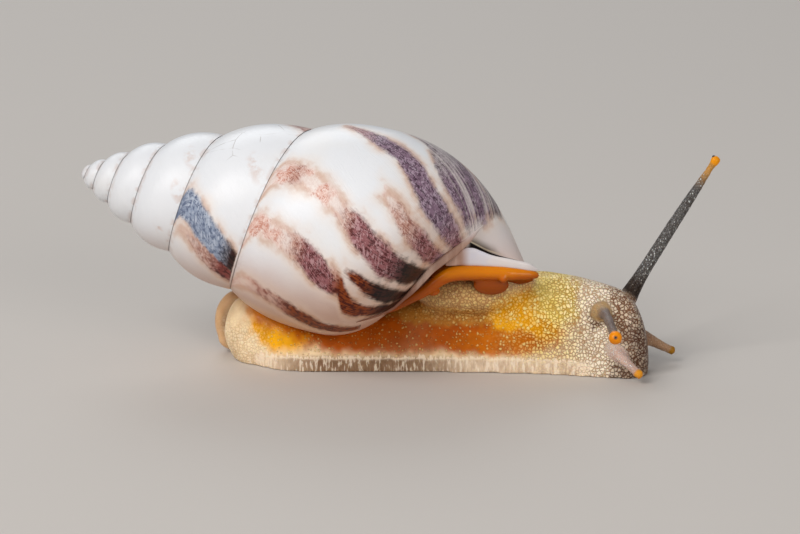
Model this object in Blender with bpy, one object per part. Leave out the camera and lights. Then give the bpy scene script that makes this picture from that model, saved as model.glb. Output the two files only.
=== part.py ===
"""A striped, left-handed tree snail crawling with its shell on its back, at life size.

Everything is in metres, +Z up. The snail crawls towards +X on the plane Z = 0, and its left side is +Y.
The shell is modelled whole as one winding surface and parted with thin cuts, and so is the flesh.
"""

import math

import bmesh
import bpy
from mathutils import Matrix, Vector

MM = 0.001

# Where the middle of the whole snail's base lies, in the frame that the sizes below use.
BOX_MIDDLE = Vector((0.048, -1.002, 0.0)) * MM

# How near points must be to be welded, and the gaps between neighbouring solids.
WELD = 0.05 * MM
SLIVER = 0.01 * MM
GAP = 0.3 * MM
EYE_GAP = 0.05 * MM

# The shell. Turns are counted from a line along its top, where the turn is 0. They are negative towards
# the tip, and the mouth's edge is a little past 0. Depths run along the axis, from the tip down.
STEPS_PER_TURN = 32
FIRST_TURN = -7
TIP_TURN = -5.95
LIP_STEPS = 13
LIP_TURN = LIP_STEPS / STEPS_PER_TURN
LIP_REACH = 6.0 * MM
ROWS_ACROSS = 5
ROWS_BELOW = 8
SEAM_SCALE = 25.77 * MM
SEAM_GROWTH = 0.449
SEAM_OFFSET = 1.64 * MM
SEAM_SLOWING = 0.377
TIP_RADIUS = 0.27 * MM
CONE_REACH = 24.37 * MM
CONE_BEND = 36.1 * MM
WHORL_BULGE = 2.7
BASE_DEPTH = 45.87 * MM
BASE_ADVANCE = 19.9 * MM
BASE_SLOWING = 10.17 * MM
BASE_HOLD = 8.0 * MM
BASE_FULLNESS = (1.98, 0.435)
LAG_SLOPE = 46.0
LAG_BACK = 23.5
LAG_BACK_WIDTH = 0.07
LAG_AT_SEAM = LAG_SLOPE - LAG_BACK
LAG_AT_BASE = 52.0

# How the shell lies on the animal, and where it is parted: the depth of each cut along the axis.
SHELL_TIP = Vector((-34.57, 5.0, 19.9)) * MM
SHELL_DIP = math.radians(10.14)
SHELL_TURN_IN = math.radians(11.1)
SHELL_ROLL = math.radians(17.76)
SHELL_CUTS = (5.2 * MM, 14.2 * MM, 23.6 * MM)
SHELL_NAMES = ("shell_apex", "shell_upper_spire", "shell_lower_spire", "shell_body_whorl")

# Room in the foot's back under the hind corner of the mouth.
CORNER_MIDDLE = Vector((-6.6, 2.1, 4.2)) * MM
CORNER_ROOM = 2.15 * MM

# The turned-out lip runs along the mouth's edge. Half its breadth and thickness.
LIP_HALF = (1.15 * MM, 0.42 * MM)
LIP_FROM = 0.5
LIP_TO = 1.86
LIP_LEAN = math.radians(25)
# The lip's inner end is a small plate on the axis, on the near side of the front.
COLUMELLA_WAY = ((6.0, -4.6, 12.4), (8.6, -4.8, 12.6), (11.3, -4.9, 12.4), (13.4, -4.75, 11.95), (15.0, -4.35, 11.35))
COLUMELLA_HALVES = ((0.5, 0.35), (0.72, 0.45), (0.68, 0.45), (0.5, 0.42), (0.33, 0.35))

# The flesh. Each station has x, y, half the breadth, and height.
BODY_STATIONS = (
    (-20.1, 3.7, 2.4, 6.4),
    (-16.5, 2.6, 3.6, 6.9),
    (-12.0, 1.3, 4.5, 6.1),
    (-5.0, 1.0, 4.6, 5.4),
    (3.0, 1.0, 4.6, 7.4),
    (10.0, 0.7, 4.6, 9.8),
    (16.0, -0.1, 4.4, 10.0),
    (20.5, -1.1, 4.3, 9.4),
    (24.0, -2.2, 3.9, 8.5),
    (26.75, -3.1, 3.4, 6.9),
)
BODY_COLUMNS = 44
BODY_ROWS = 16
SECTION_BEND = (0.75, 0.8)
TAIL_ROUNDING = 3.0 * MM
HEAD_ROUNDING = 3.2 * MM
FRINGE_HEIGHT = 1.3 * MM
FRINGE_REACH = 0.08
FLESH_CUTS = (-8.0 * MM, 5.5 * MM, 17.0 * MM)
FLESH_NAMES = ("tail", "foot", "neck", "head")

# The mantle: a pad in the shell's mouth, with its middle, half sizes and lean.
MANTLE_MIDDLE = Vector((7.4, 0.0, 9.2)) * MM
MANTLE_HALF = (7.7 * MM, 5.6 * MM, 1.5 * MM)
MANTLE_LEAN = (math.radians(-38.0), math.radians(2.0), math.radians(-6.0))

# Feelers: the way from base to tip in millimetres, and the radii on it.
UPPER_LEFT_WAY = ((24.3, 0.1, 6.9), (26.6, 1.4, 10.4), (30.1, 3.1, 15.6), (34.0, 4.8, 21.25))
UPPER_RIGHT_WAY = ((20.9, -3.9, 7.0), (21.4, -6.4, 7.1), (21.9, -9.2, 6.8), (22.4, -12.2, 6.3))
UPPER_LEFT_RADII = (1.0, 0.66, 0.57, 0.37)
UPPER_RIGHT_RADII = (1.0, 0.52, 0.46, 0.4)
UPPER_LEFT_TIP = (0.52 * MM, 1.12)
UPPER_RIGHT_TIP = (0.65 * MM, 1.0)
LOWER_LEFT_WAY = ((25.2, -2.2, 3.9), (26.9, -0.9, 2.8), (28.2, -0.4, 2.0), (29.3, -0.1, 1.4))
LOWER_RIGHT_WAY = ((22.3, -4.2, 3.4), (23.1, -5.8, 2.7), (24.3, -7.2, 1.8), (25.2, -8.1, 1.1))
LOWER_RADII = (0.85, 0.6, 0.46, 0.38)
LOWER_TIP = (0.41 * MM, 1.0)
FEELER_ROUNDNESS = 3
FEELER_POINTS = 10
TIP_SEGMENTS = 12
TIP_RINGS = 8
TIP_TWIST = math.radians(11)
EYE_RADIUS = 0.18 * MM
EYE_SINK = 0.09 * MM
EYE_LEFT_WAY = (-0.36, 0.1, 0.93)
EYE_RIGHT_WAY = (-0.06, -0.95, 0.3)


def clear_scene():
    for obj in list(bpy.data.objects):
        bpy.data.objects.remove(obj)


def new_collection(name, hidden=False):
    made = bpy.data.collections.new(name)
    made.hide_render = hidden
    bpy.context.scene.collection.children.link(made)
    return made


def paint(name, colour, roughness):
    material = bpy.data.materials.new(name)
    material.use_nodes = True
    shader = material.node_tree.nodes["Principled BSDF"]
    shader.inputs["Base Color"].default_value = (*colour, 1.0)
    shader.inputs["Roughness"].default_value = roughness
    return material


def new_object(name, mesh, collection, look=None):
    """Turns a bmesh into an object of triangles and frees the bmesh."""
    bmesh.ops.triangulate(mesh, faces=mesh.faces, quad_method="BEAUTY")
    data = bpy.data.meshes.new(name)
    mesh.to_mesh(data)
    mesh.free()
    obj = bpy.data.objects.new(name, data)
    collection.objects.link(obj)
    if look:
        data.materials.append(paint(name, *look))
    for face in data.polygons:
        face.use_smooth = True
    return obj


# ---------------------------------------------------------------- the shell


def seam_depth(turn):
    """Depth of the seam above the whorl, whose going slows down towards the lip."""
    turn = max(turn, TIP_TURN)
    slowed = turn - SEAM_SLOWING * turn * turn if turn > 0 else turn
    return SEAM_SCALE * math.exp(SEAM_GROWTH * slowed) - SEAM_OFFSET


def seam_radius(turn):
    depth = seam_depth(turn)
    start = min(1.0, max(0.0, turn - TIP_TURN)) ** 0.5
    return start * (TIP_RADIUS + CONE_REACH * depth / (depth + CONE_BEND))


def base_depth(turn):
    bend = -BASE_SLOWING if turn > 0 else BASE_HOLD
    return BASE_DEPTH + BASE_ADVANCE * turn + bend * turn * turn


def lag_degrees(across):
    """How far a growth line trails its own start at the seam, at 0 to 1 across and 1 to 2 below."""
    if across <= 1:
        return LAG_SLOPE * across - LAG_BACK * (1 - math.exp(-across / LAG_BACK_WIDTH))
    return LAG_AT_SEAM + (LAG_AT_BASE - LAG_AT_SEAM) * (1 - (2 - across) ** 1.6)


def shell_frame():
    """Maps shell space (X towards turn 0, Y towards turn 0.25, Z down the axis) to the snail."""
    axis = Vector((1, 0, 0))
    axis.rotate(Matrix.Rotation(SHELL_DIP, 3, "Y"))
    axis.rotate(Matrix.Rotation(-SHELL_TURN_IN, 3, "Z"))
    level = Vector((0, 0, 1)).cross(axis).normalized()
    upright = axis.cross(level)
    top = Matrix.Rotation(-SHELL_ROLL, 3, axis) @ upright
    side = top.cross(axis)
    frame = Matrix((top, side, axis)).transposed().to_4x4()
    frame.translation = SHELL_TIP
    return frame


SHELL_FRAME = shell_frame()


def shell_place(turn, radius, depth):
    angle = 2 * math.pi * turn
    return SHELL_FRAME @ Vector((radius * math.cos(angle), radius * math.sin(angle), depth))


def shell_point(line_turn, across, grow=0.0):
    """Turn, radius and depth on the growth line that starts at line_turn on the seam."""
    turn = line_turn - lag_degrees(across) / 360
    upper, lower = seam_depth(turn), seam_depth(turn + 1)
    if across <= 1:
        depth = upper + across * (lower - upper)
        inner, outer = seam_radius(turn), seam_radius(turn + 1)
        radius = outer - (outer - inner) * (1 - across) ** WHORL_BULGE
        return turn, radius + grow * min(1.0, radius / MM), depth
    share = math.sin(math.pi / 2 * (across - 1))
    depth = lower + share * (base_depth(turn) - lower)
    bend, close = BASE_FULLNESS
    fullness = max(0.0, 1 - share**bend) ** close
    return turn, (seam_radius(turn + 1) + grow) * fullness, depth + grow * share


def add_sheet(mesh, columns, rows, place):
    """Adds a grid whose corners are moved to place(column, row)."""
    made = bmesh.ops.create_grid(mesh, x_segments=columns, y_segments=rows, size=0.5)
    for vert in made["verts"]:
        column = round((vert.co.x + 0.5) * columns)
        row = round((vert.co.y + 0.5) * rows)
        vert.co = place(column, row)


def build_shell_mesh(grow=0.0):
    """The whole shell, filled, or the same with every point moved outwards."""
    mesh = bmesh.new()
    line = mesh.verts.layers.float_vector.new("line")
    start = LIP_STEPS - STEPS_PER_TURN + round(LAG_AT_SEAM / 360 * STEPS_PER_TURN)

    def place(step, across, grow):
        past_lip = grow / LIP_REACH / (2 * math.pi) * min(1.0, across * 2) if step == LIP_STEPS else 0
        return shell_place(*shell_point(step / STEPS_PER_TURN + past_lip, across, grow))

    for first, from_across, rows in ((FIRST_TURN * STEPS_PER_TURN, 0, ROWS_ACROSS), (start, 1, ROWS_BELOW)):
        columns = LIP_STEPS - first
        made = bmesh.ops.create_grid(mesh, x_segments=columns, y_segments=rows, size=0.5)
        for vert in made["verts"]:
            step = first + round((vert.co.x + 0.5) * columns)
            across = from_across + round((vert.co.y + 0.5) * rows) / rows
            if across == 2 and step == LIP_STEPS:
                step -= 1
            vert[line] = (step, across, 0)
            vert.co = place(step, across, 0)
    bmesh.ops.remove_doubles(mesh, verts=mesh.verts, dist=WELD)
    edges = [edge for edge in mesh.edges if edge.is_boundary]
    filled = bmesh.ops.holes_fill(mesh, edges=edges, sides=0)
    bmesh.ops.triangulate(mesh, faces=filled["faces"], ngon_method="BEAUTY")
    if grow:
        for vert in mesh.verts:
            vert.co = place(round(vert[line].x), vert[line].y, grow)
    bmesh.ops.recalc_face_normals(mesh, faces=mesh.faces)
    return mesh


def catmull(stations, at):
    """A smooth value between stations, where at runs from 0 to their number less one."""
    last = len(stations) - 1
    step = min(int(at), last - 1)
    t = at - step
    p1, p2 = Vector(stations[step]), Vector(stations[step + 1])
    p0 = Vector(stations[step - 1]) if step else p1 * 2 - p2
    p3 = Vector(stations[step + 2]) if step + 2 <= last else p2 * 2 - p1
    bend = (2 * p0 - 5 * p1 + 4 * p2 - p3) * t * t + (3 * p1 - p0 - 3 * p2 + p3) * t * t * t
    return (2 * p1 + (p2 - p0) * t + bend) * 0.5


def build_plate(way, halves, rings, sides):
    """A closed flattened tube along a way of points, with round ends. Sizes are in millimetres."""
    mesh = bmesh.new()
    last = len(way) - 1

    def place(column, row):
        share = column / rings
        at = last * (1 - math.cos(math.pi * share)) / 2
        ahead = (catmull(way, min(at + 0.05, last)) - catmull(way, max(at - 0.05, 0))).normalized()
        across = ahead.cross(Vector((0, 0, 1))).normalized()
        over = across.cross(ahead)
        half_up, half_across = catmull(halves, at)
        end = min(1.0, 2.2 * math.sin(math.pi * share)) if 0 < column < rings else 0
        angle = 2 * math.pi * row / sides
        spread = over * half_up * math.cos(angle) + across * half_across * math.sin(angle)
        return (catmull(way, at) + spread * end) * MM

    add_sheet(mesh, rings, sides, place)
    bmesh.ops.remove_doubles(mesh, verts=mesh.verts, dist=0.01 * MM)
    bmesh.ops.recalc_face_normals(mesh, faces=mesh.faces)
    return mesh


def build_stalk(name, way, radii):
    """A tapering curve along a way of points, turned into a closed mesh. Sizes are in millimetres."""
    curve = bpy.data.curves.new(name + "_curve", "CURVE")
    curve.dimensions = "3D"
    curve.bevel_depth = 1 * MM
    curve.bevel_resolution = FEELER_ROUNDNESS
    curve.use_fill_caps = True
    spline = curve.splines.new("POLY")
    spline.points.add(FEELER_POINTS - 1)
    for k, point in enumerate(spline.points):
        at = (len(way) - 1) * k / (FEELER_POINTS - 1)
        point.co = (*(catmull(way, at) * MM), 1)
        point.radius = catmull([(radius, 0) for radius in radii], at)[0]
    holder = bpy.data.objects.new(name + "_curve", curve)
    bpy.context.scene.collection.objects.link(holder)
    graph = bpy.context.evaluated_depsgraph_get()
    data = bpy.data.meshes.new_from_object(holder.evaluated_get(graph))
    mesh = bmesh.new()
    mesh.from_mesh(data)
    bmesh.ops.remove_doubles(mesh, verts=mesh.verts, dist=0.01 * MM)
    bmesh.ops.recalc_face_normals(mesh, faces=mesh.faces)
    bpy.data.objects.remove(holder)
    return mesh


def build_outer_lip():
    """The mouth's edge, turned out: a flat rim that follows the last growth line."""
    mesh = bmesh.new()
    rings, sides = 20, 8

    def place(column, row):
        share = column / rings
        across = LIP_FROM + (LIP_TO - LIP_FROM) * share
        here = shell_place(*shell_point(LIP_TURN, across))
        along = shell_place(*shell_point(LIP_TURN, across + 0.02)) - here
        growth = here - shell_place(*shell_point(LIP_TURN - 0.02, across))
        outward = along.cross(growth).normalized()
        middle = shell_place(LIP_TURN - lag_degrees(across) / 360, 0, (here - SHELL_TIP).length)
        if outward.dot(here - middle) < 0:
            outward = -outward
        forward = outward.cross(along).normalized()
        if forward.dot(growth) < 0:
            forward = -forward
        broad = outward * math.cos(LIP_LEAN) - forward * math.sin(LIP_LEAN)
        thick = broad.cross(along.normalized())
        end = min(1.0, 2.0 * math.sin(math.pi * share)) if 0 < column < rings else 0
        angle = 2 * math.pi * row / sides
        half_broad, half_thick = LIP_HALF
        ring = broad * half_broad * math.cos(angle) + thick * half_thick * math.sin(angle)
        return here + outward * 0.25 * MM + ring * end

    add_sheet(mesh, rings, sides, place)
    bmesh.ops.remove_doubles(mesh, verts=mesh.verts, dist=0.01 * MM)
    bmesh.ops.recalc_face_normals(mesh, faces=mesh.faces)
    return mesh


def body_section(x):
    """Middle, half the breadth and height of the body at x, in metres."""
    first, last = BODY_STATIONS[0][0] * MM, BODY_STATIONS[-1][0] * MM
    low, high = 0.0, len(BODY_STATIONS) - 1.0
    for _ in range(24):
        at = (low + high) / 2
        if catmull_of(at)[0] * MM < x:
            low = at
        else:
            high = at
    _, y, half, height = (value * MM for value in catmull_of(low))
    from_tail = min(1.0, max(0.0, 1 - (x - first) / TAIL_ROUNDING))
    from_head = min(1.0, max(0.0, 1 - (last - x) / HEAD_ROUNDING))
    plan = (1 - from_tail**2.3) ** 0.5 * (1 - from_head**2.3) ** 0.45
    side = (1 - from_tail**2.6) ** 0.4 * (1 - from_head**3.0) ** 0.45
    return y, half * plan, height * side


def catmull_of(at):
    """One value a column of the body's stations."""
    return [catmull([(s[0], s[k]) for s in BODY_STATIONS], at)[1 if k else 0] for k in range(4)]


def build_body_mesh():
    mesh = bmesh.new()
    first, last = BODY_STATIONS[0][0] * MM, BODY_STATIONS[-1][0] * MM

    def skin(column, row):
        share = (1 - math.cos(math.pi * column / BODY_COLUMNS)) / 2
        share = 0.55 * share + 0.45 * column / BODY_COLUMNS
        x = first + (last - first) * share
        y, half, height = body_section(x)
        angle = math.pi * row / BODY_ROWS
        across, up = math.cos(angle), max(0.0, math.sin(angle))
        z = height * up ** SECTION_BEND[1]
        if row in (0, BODY_ROWS):
            z = 0.0
        out = -math.copysign(abs(across) ** SECTION_BEND[0], across)
        out *= half * (1 + FRINGE_REACH * math.exp(-((z / FRINGE_HEIGHT) ** 2)))
        return Vector((x, y + out, z))

    add_sheet(mesh, BODY_COLUMNS, BODY_ROWS, skin)
    add_sheet(mesh, BODY_COLUMNS, 1, lambda column, row: skin(column, row * BODY_ROWS))
    bmesh.ops.remove_doubles(mesh, verts=mesh.verts, dist=0.01 * MM)
    bmesh.ops.recalc_face_normals(mesh, faces=mesh.faces)
    return mesh


def build_ball(middle, radius, facing, stretch=1.0, twist=0.0):
    """A ball, longer along the way it faces if stretched."""
    mesh = bmesh.new()
    bmesh.ops.create_uvsphere(mesh, u_segments=TIP_SEGMENTS, v_segments=TIP_RINGS, radius=radius)
    size = Matrix.Rotation(twist, 4, "Z") @ Matrix.Diagonal((1, 1, stretch, 1))
    turn = facing.to_track_quat("Z", "Y").to_matrix().to_4x4()
    bmesh.ops.transform(mesh, matrix=Matrix.Translation(middle) @ turn @ size, verts=mesh.verts)
    return mesh


def build_mantle(grow=0.0):
    mesh = bmesh.new()
    bmesh.ops.create_uvsphere(mesh, u_segments=24, v_segments=12, radius=1.0)
    size = Matrix.Diagonal((*(half + grow for half in MANTLE_HALF), 1))
    turn = Matrix.Rotation(MANTLE_LEAN[2], 4, "Z") @ Matrix.Rotation(MANTLE_LEAN[1], 4, "Y")
    turn = turn @ Matrix.Rotation(MANTLE_LEAN[0], 4, "X")
    bmesh.ops.transform(mesh, matrix=Matrix.Translation(MANTLE_MIDDLE) @ turn @ size, verts=mesh.verts)
    return mesh


# ---------------------------------------------------------------- parting and cutting


def copy_object(obj, name, collection):
    made = bpy.data.objects.new(name, obj.data.copy())
    made.data.name = name
    collection.objects.link(made)
    return made


def boolean(obj, cutter, operation="DIFFERENCE"):
    step = obj.modifiers.new(operation.lower(), "BOOLEAN")
    step.solver = "EXACT"
    step.operation = operation
    step.object = cutter
    graph = bpy.context.evaluated_depsgraph_get()
    data = bpy.data.meshes.new_from_object(obj.evaluated_get(graph))
    obj.modifiers.clear()
    obj.data = data
    data.name = obj.name
    mesh = bmesh.new()
    mesh.from_mesh(data)
    bmesh.ops.remove_doubles(mesh, verts=mesh.verts, dist=SLIVER)
    bmesh.ops.dissolve_degenerate(mesh, edges=mesh.edges, dist=SLIVER)
    mesh.to_mesh(data)
    mesh.free()


def swollen(obj, distance, cutters):
    """A cutter: the solid grown outwards, so that what it cuts leaves a gap."""
    grown = copy_object(obj, obj.name + "_grown", cutters)
    mesh = bmesh.new()
    mesh.from_mesh(grown.data)
    mesh.normal_update()
    moves = [vert.normal * distance * min(1.6, vert.calc_shell_factor()) for vert in mesh.verts]
    for vert, move in zip(mesh.verts, moves):
        vert.co += move
    mesh.to_mesh(grown.data)
    mesh.free()
    return grown


def part_by_planes(obj, direction, cuts, names, collection, cutters, look):
    """Parts a solid at distances along a direction, with a thin gap, into one object a slice."""
    reach = 200 * MM
    turn = direction.to_track_quat("Z", "Y").to_matrix().to_4x4()
    edges = (-reach, *cuts, reach)
    made = []
    for name, low, high in zip(names, edges[:-1], edges[1:]):
        block = bmesh.new()
        bmesh.ops.create_cube(block, size=1.0)
        size = Matrix.Diagonal((reach, reach, high - low - GAP, 1.0))
        move = Matrix.Translation(Vector((0, 0, (low + high) / 2)))
        bmesh.ops.transform(block, matrix=turn @ move @ size, verts=block.verts)
        cutter = new_object(name + "_slice", block, cutters)
        piece = copy_object(obj, name, collection)
        boolean(piece, cutter, "INTERSECT")
        piece.data.materials.clear()
        piece.data.materials.append(paint(name, *look))
        made.append(piece)
    return made


WHITE = ((0.88, 0.86, 0.83), 0.25)
ORANGE = ((0.85, 0.36, 0.05), 0.4)
SKIN = ((0.78, 0.55, 0.25), 0.5)
SLATE = ((0.13, 0.13, 0.15), 0.5)
BLACK = ((0.01, 0.01, 0.01), 0.1)


def build_feeler(name, way, radii, tip_size, look, parts, cutters, body_grown):
    """A feeler as a stalk with a round tip. The tip keeps a gap from the stalk."""
    tip_radius, stretch = tip_size
    stalk = new_object(name, build_stalk(name, way, radii), parts, look)
    end = Vector(way[-1]) * MM
    facing = (Vector(way[-1]) - Vector(way[-2])).normalized()
    ball = build_ball(end, tip_radius, facing, stretch, TIP_TWIST)
    tip = new_object(name + "_tip", ball, parts, ORANGE)
    boolean(stalk, swollen(tip, GAP / 2, cutters))
    boolean(stalk, body_grown)
    return tip, end, facing


def build_eye(name, tip, middle, facing, tip_size, way, parts, cutters):
    """An eye set in a tip, on the side that it looks to."""
    radius, stretch = tip_size
    look = Vector(way).normalized()
    ahead = look.dot(facing)
    reach = radius / math.hypot(math.sqrt(max(0.0, 1 - ahead * ahead)), ahead / stretch)
    eye = new_object(name, build_ball(middle + look * (reach - EYE_SINK), EYE_RADIUS, look), parts, BLACK)
    boolean(tip, swollen(eye, EYE_GAP, cutters))


def stand_at_origin(parts):
    """Hangs every part from an empty that brings the middle of the snail's base to the origin."""
    middle = bpy.data.objects.new("base_middle", None)
    parts.objects.link(middle)
    middle.location = -BOX_MIDDLE
    for obj in parts.objects:
        if obj is not middle:
            obj.parent = middle


def main():
    clear_scene()
    parts = new_collection("striped_snail")
    cutters = new_collection("cutters", hidden=True)

    shell = new_object("shell", build_shell_mesh(), cutters)
    shell_grown = new_object("shell_grown", build_shell_mesh(GAP), cutters)
    lip = new_object("shell_outer_lip", build_outer_lip(), parts, WHITE)
    plate = build_plate(COLUMELLA_WAY, COLUMELLA_HALVES, 14, 8)
    columella = new_object("shell_columellar_lip", plate, parts, WHITE)
    lip_grown = swollen(lip, GAP, cutters)
    columella_grown = swollen(columella, GAP, cutters)
    mantle = new_object("mantle_collar", build_mantle(), parts, ORANGE)
    for cutter in (shell_grown, lip_grown, columella_grown):
        boolean(mantle, cutter)
    mantle_grown = new_object("mantle_grown", build_mantle(GAP), cutters)

    axis = SHELL_FRAME.to_3x3() @ Vector((0, 0, 1))
    cuts = [SHELL_TIP.dot(axis) + depth for depth in SHELL_CUTS]
    pieces = part_by_planes(shell, axis, cuts, SHELL_NAMES, parts, cutters, WHITE)
    boolean(pieces[-1], lip_grown)
    boolean(pieces[-1], columella_grown)

    body = new_object("body", build_body_mesh(), cutters)
    body_grown = swollen(body, GAP, cutters)
    room = new_object("corner_room", build_ball(CORNER_MIDDLE, CORNER_ROOM, axis), cutters)
    for cutter in (shell_grown, lip_grown, columella_grown, mantle_grown, room):
        boolean(body, cutter)
    part_by_planes(body, Vector((1, 0, 0)), FLESH_CUTS, FLESH_NAMES, parts, cutters, SKIN)

    for side, way, radii, tip_size, eye_way in (
        ("left", UPPER_LEFT_WAY, UPPER_LEFT_RADII, UPPER_LEFT_TIP, EYE_LEFT_WAY),
        ("right", UPPER_RIGHT_WAY, UPPER_RIGHT_RADII, UPPER_RIGHT_TIP, EYE_RIGHT_WAY),
    ):
        name = "upper_tentacle_" + side
        tip, end, facing = build_feeler(name, way, radii, tip_size, SLATE, parts, cutters, body_grown)
        build_eye("eye_" + side, tip, end, facing, tip_size, eye_way, parts, cutters)
    for side, way in (("left", LOWER_LEFT_WAY), ("right", LOWER_RIGHT_WAY)):
        name = "lower_tentacle_" + side
        build_feeler(name, way, LOWER_RADII, LOWER_TIP, SKIN, parts, cutters, body_grown)
    stand_at_origin(parts)


main()
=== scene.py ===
"""A left-coiled tree snail with a flamed white shell, crawling, at life size, in metres.

It is put together in this order: the view, the shell and its lip, the mantle, the skin, the eyes.
"""

import math
from functools import partial
from types import SimpleNamespace

import bmesh
import bpy
import numpy as np
from mathutils import Matrix, Vector


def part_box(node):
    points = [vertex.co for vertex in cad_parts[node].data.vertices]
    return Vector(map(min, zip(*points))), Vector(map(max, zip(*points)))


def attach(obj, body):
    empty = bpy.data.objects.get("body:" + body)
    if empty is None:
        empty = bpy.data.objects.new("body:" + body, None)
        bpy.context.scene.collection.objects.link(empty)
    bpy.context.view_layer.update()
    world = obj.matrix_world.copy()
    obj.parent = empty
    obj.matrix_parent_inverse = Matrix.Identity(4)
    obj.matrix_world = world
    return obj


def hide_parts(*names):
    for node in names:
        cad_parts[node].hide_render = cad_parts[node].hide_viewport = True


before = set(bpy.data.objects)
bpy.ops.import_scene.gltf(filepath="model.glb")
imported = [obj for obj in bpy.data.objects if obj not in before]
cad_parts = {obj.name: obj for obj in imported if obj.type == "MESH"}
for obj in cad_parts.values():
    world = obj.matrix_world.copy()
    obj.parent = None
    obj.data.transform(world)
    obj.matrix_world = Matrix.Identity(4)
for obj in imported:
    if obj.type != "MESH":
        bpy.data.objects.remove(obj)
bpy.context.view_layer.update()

# ---------- the view
# The snail crawls to the right on a plain pale floor, seen from its right side and a little from above,
# under three soft lamps and an even pale sky.

MM = 0.001
# The scene's origin in the tables' millimetres.
BASE_MIDDLE = Vector((0.048, -1.002, 0)) * MM
SIGHT = Vector((0, 0, 10.66)) * MM - BASE_MIDDLE
SIGHT_RISE = math.radians(15)
SIGHT_DISTANCE = 0.34
LENS_LENGTH = 142.6
FLOOR_SIZE = 3
FLOOR_DROP = 0.02 * MM
FLOOR_COLOUR = (0.6, 0.56, 0.52)
SKY_COLOUR = (0.93, 0.96, 1)
SKY_STRENGTH = 0.3
# Each lamp: place, size, power in watts, colour.
LAMPS = (
    ((-0.46, -0.46, 0.56), 0.5, 4.9, (1, 0.98, 0.96)),
    ((0.42, -0.6, 0.22), 0.4, 1.5, (1, 0.96, 0.92)),
    ((-0.1, 0.6, 0.5), 0.4, 1.2, (0.94, 0.97, 1)),
)


def set_down(place):
    """A place of the tables, in metres from the scene's origin."""
    return Vector(place) * MM - BASE_MIDDLE


def placed(name, data):
    """An object of the scene with its data."""
    made = bpy.data.objects.new(name, data)
    bpy.context.scene.collection.objects.link(made)
    return made


camera = placed("camera", bpy.data.cameras.new("camera"))
camera.data.lens = LENS_LENGTH
camera.data.clip_start = 0.01
camera.location = SIGHT + Vector((0, -math.cos(SIGHT_RISE), math.sin(SIGHT_RISE))) * SIGHT_DISTANCE
camera.rotation_euler = (math.pi / 2 - SIGHT_RISE, 0, 0)
bpy.context.scene.camera = camera
bpy.context.scene.view_settings.view_transform = "Standard"

for number, (place, size, power, colour) in enumerate(LAMPS):
    lamp_data = bpy.data.lights.new(f"lamp_{number}", "AREA")
    lamp_data.size = size
    lamp_data.energy = power
    lamp_data.color = colour
    lamp = placed(f"lamp_{number}", lamp_data)
    lamp.location = place
    lamp.rotation_euler = (SIGHT - Vector(place)).to_track_quat("-Z", "Y").to_euler()

sky = bpy.data.worlds.new("sky")
sky.use_nodes = True
sky.node_tree.nodes["Background"].inputs["Color"].default_value = (*SKY_COLOUR, 1)
sky.node_tree.nodes["Background"].inputs["Strength"].default_value = SKY_STRENGTH
bpy.context.scene.world = sky


def new_object(name, mesh):
    """A bmesh as a smooth object of the scene."""
    data = bpy.data.meshes.new(name)
    mesh.to_mesh(data)
    mesh.free()
    data.shade_smooth()
    return placed(name, data)


def new_material(name, **finish):
    """A material with some inputs of its shader set, its tree and its shader."""
    material = bpy.data.materials.new(name)
    material.use_nodes = True
    shader = material.node_tree.nodes["Principled BSDF"]
    for word, value in finish.items():
        shader.inputs[word.replace("_", " ")].default_value = value
    return material, material.node_tree, shader


floor_mesh = bmesh.new()
bmesh.ops.create_grid(floor_mesh, x_segments=1, y_segments=1, size=FLOOR_SIZE / 2)
floor = new_object("floor", floor_mesh)
floor.data.transform(Matrix.Translation((0, 0, -FLOOR_DROP)))
floor_paper = new_material("floor_paper", Roughness=0.8, Base_Color=(*FLOOR_COLOUR, 1))
floor.data.materials.append(floor_paper[0])

# ---------- the shell
# A chalky wall wound to the left about a sloping axis, nearly seven and a half turns, with a porcelain
# face. The mantle lays it down a growth line at a time, so lines and flames both follow the mouth's edge.


class Field:
    """What a tree's nodes work out, for formulas that read as on paper."""

    def __init__(self, tree, socket):
        self.tree = tree
        self.socket = socket


# Fields add, subtract, multiply and divide, with a field or a number on either side.
for word, operation in (("add", "ADD"), ("sub", "SUBTRACT"), ("mul", "MULTIPLY"), ("truediv", "DIVIDE")):
    setattr(Field, f"__{word}__", lambda one, other, step=operation: work(step, None, one, other))
    setattr(Field, f"__r{word}__", lambda one, other, step=operation: work(step, None, other, one))


def feed(socket, value):
    """Gives a socket a field's link or a plain value."""
    if isinstance(value, Field):
        value.tree.links.new(value.socket, socket)
    else:
        socket.default_value = value


def feed_all(node, **inputs):
    """Feeds inputs of a node by their names, with _ for a space."""
    for name, value in inputs.items():
        feed(node.inputs[name.replace("_", " ")], value)
    return node


def work(operation, plain, *values):
    """One step of a formula: a node if a value is a field, or else worked out at once."""
    fields = [value for value in values if isinstance(value, Field)]
    if not fields:
        return plain(*values)
    node = fields[0].tree.nodes.new("ShaderNodeMath")
    node.operation = operation
    for socket, value in zip(node.inputs, values):
        feed(socket, value)
    return Field(node.id_data, node.outputs[0])


raised = partial(work, "POWER", pow)
exponent = partial(work, "EXPONENT", math.exp)
sine = partial(work, "SINE", math.sin)
cosine = partial(work, "COSINE", math.cos)
larger = partial(work, "MAXIMUM", np.maximum)
smaller = partial(work, "MINIMUM", np.minimum)
above = partial(work, "GREATER_THAN", lambda value, limit: float(value > limit))
size_of = partial(work, "ABSOLUTE", abs)


def eased(value, low, high):
    """0 up to low and 1 from high on, with a soft change between."""
    share = smaller(larger((value - low) / (high - low), 0), 1)
    return share * share * (3 - 2 * share)


def add_node(tree, kind, settings=(), **inputs):
    """A new node with its settings and inputs."""
    node = tree.nodes.new(kind)
    for name, value in dict(settings).items():
        setattr(node, name, value)
    return feed_all(node, **inputs)


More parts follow.
